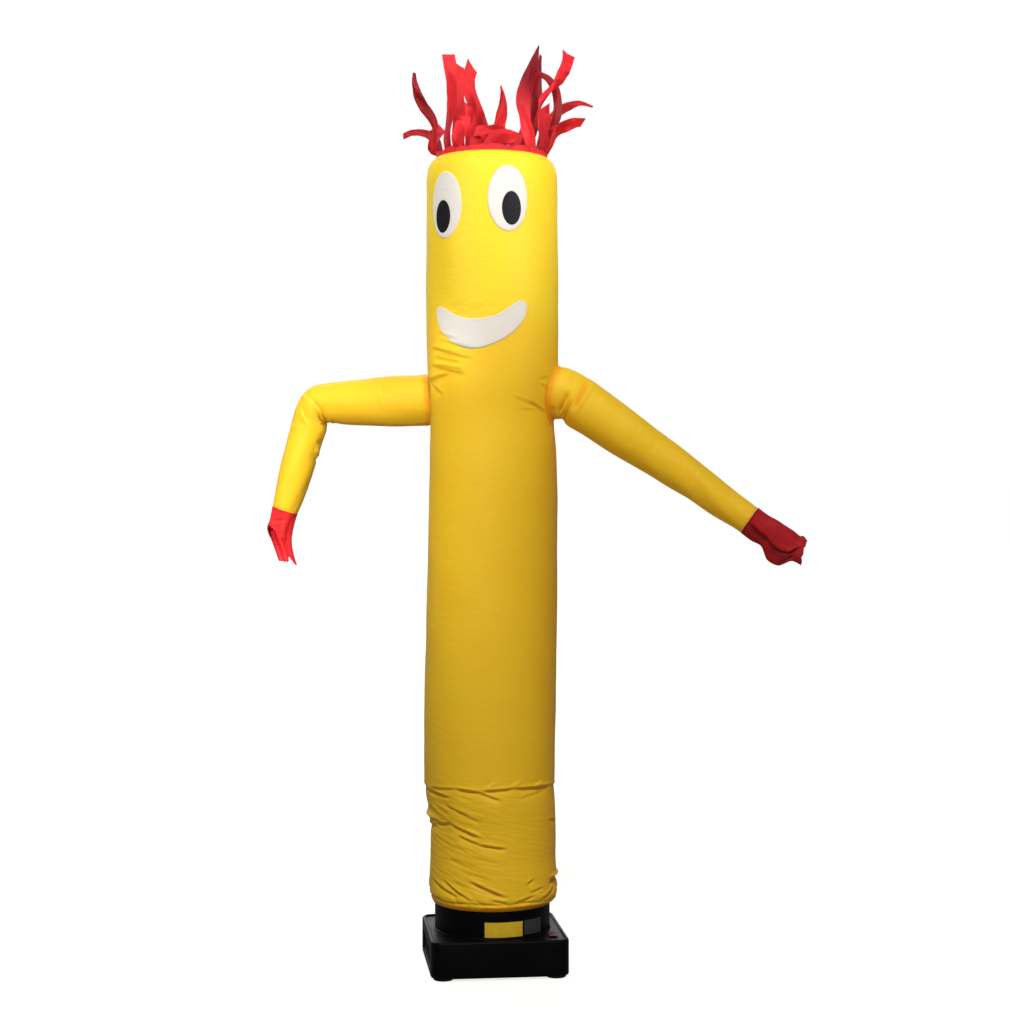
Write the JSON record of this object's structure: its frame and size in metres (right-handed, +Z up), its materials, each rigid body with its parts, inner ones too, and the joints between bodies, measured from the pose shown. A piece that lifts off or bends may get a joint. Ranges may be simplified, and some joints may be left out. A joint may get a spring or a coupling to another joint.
{
  "type": "inflatable air dancer with floor blower",
  "caption": "Tall inflatable cloth tube figure with outstretched arms, loose hair strips, sewn eyes and smile, its hem drawn round the collar of a low square floor blower.",
  "frame": {"origin": "middle of the whole figure's outline, arms included, on the floor under the blower's pads", "axes": "+Z up the tube, +Y to the figure's back, so that the face looks towards -Y; +X to the side of the straight arm"},
  "size_m": [1.3057, 0.3623, 2.2262],
  "materials": {
    "yellow_nylon": "thin coated woven nylon, soft sheen",
    "red_nylon": "thin coated woven nylon, soft sheen",
    "white_nylon": "matte woven applique cloth",
    "black_nylon": "matte woven applique cloth",
    "black_plastic": "moulded, satin, fine texture",
    "black_rubber": "matte",
    "red_plastic": "moulded, glossy",
    "yellow_film": "printed film plate, bare",
    "grey_film": "printed film plate, bare"
  },
  "bodies": {
    "dancer": {"body_tube": "yellow_nylon", "crown_panel": "yellow_nylon", "arm_bent": "yellow_nylon", "arm_straight": "yellow_nylon", "hand_bent": "red_nylon", "hand_straight": "red_nylon", "hair_band": "red_nylon", "hair_01": "red_nylon", "hair_02": "red_nylon", "hair_03": "red_nylon", "hair_04": "red_nylon", "hair_05": "red_nylon", "hair_06": "red_nylon", "hair_07": "red_nylon", "hair_08": "red_nylon", "hair_09": "red_nylon", "hair_10": "red_nylon", "hair_11": "red_nylon", "hair_12": "red_nylon", "hair_13": "red_nylon", "hair_14": "red_nylon", "hair_15": "red_nylon", "hair_16": "red_nylon", "hair_17": "red_nylon", "hair_18": "red_nylon", "hair_19": "red_nylon", "hair_20": "red_nylon", "hair_21": "red_nylon", "hair_22": "red_nylon", "eye_left": "white_nylon", "eye_right": "white_nylon", "pupil_left": "black_nylon", "pupil_right": "black_nylon", "mouth": "white_nylon", "blower_foot": "black_plastic", "foot_pad_1": "black_rubber", "foot_pad_2": "black_rubber", "foot_pad_3": "black_rubber", "foot_pad_4": "black_rubber", "intake_grille": "black_plastic", "blower_collar": "black_plastic", "plate_yellow": "yellow_film", "plate_grey": "grey_film", "switch_bezel": "black_plastic"},
    "rocker": {"switch_rocker": "red_plastic"}
  },
  "joints": [
    {"name": "rocker_tilt", "type": "hinge", "parent": "dancer", "child": "rocker", "pos_m": [0.05287, -0.0905, 0.0903], "axis": [0.9934, 0.1149, 0], "range_deg": [-14, 0]}
  ]
}
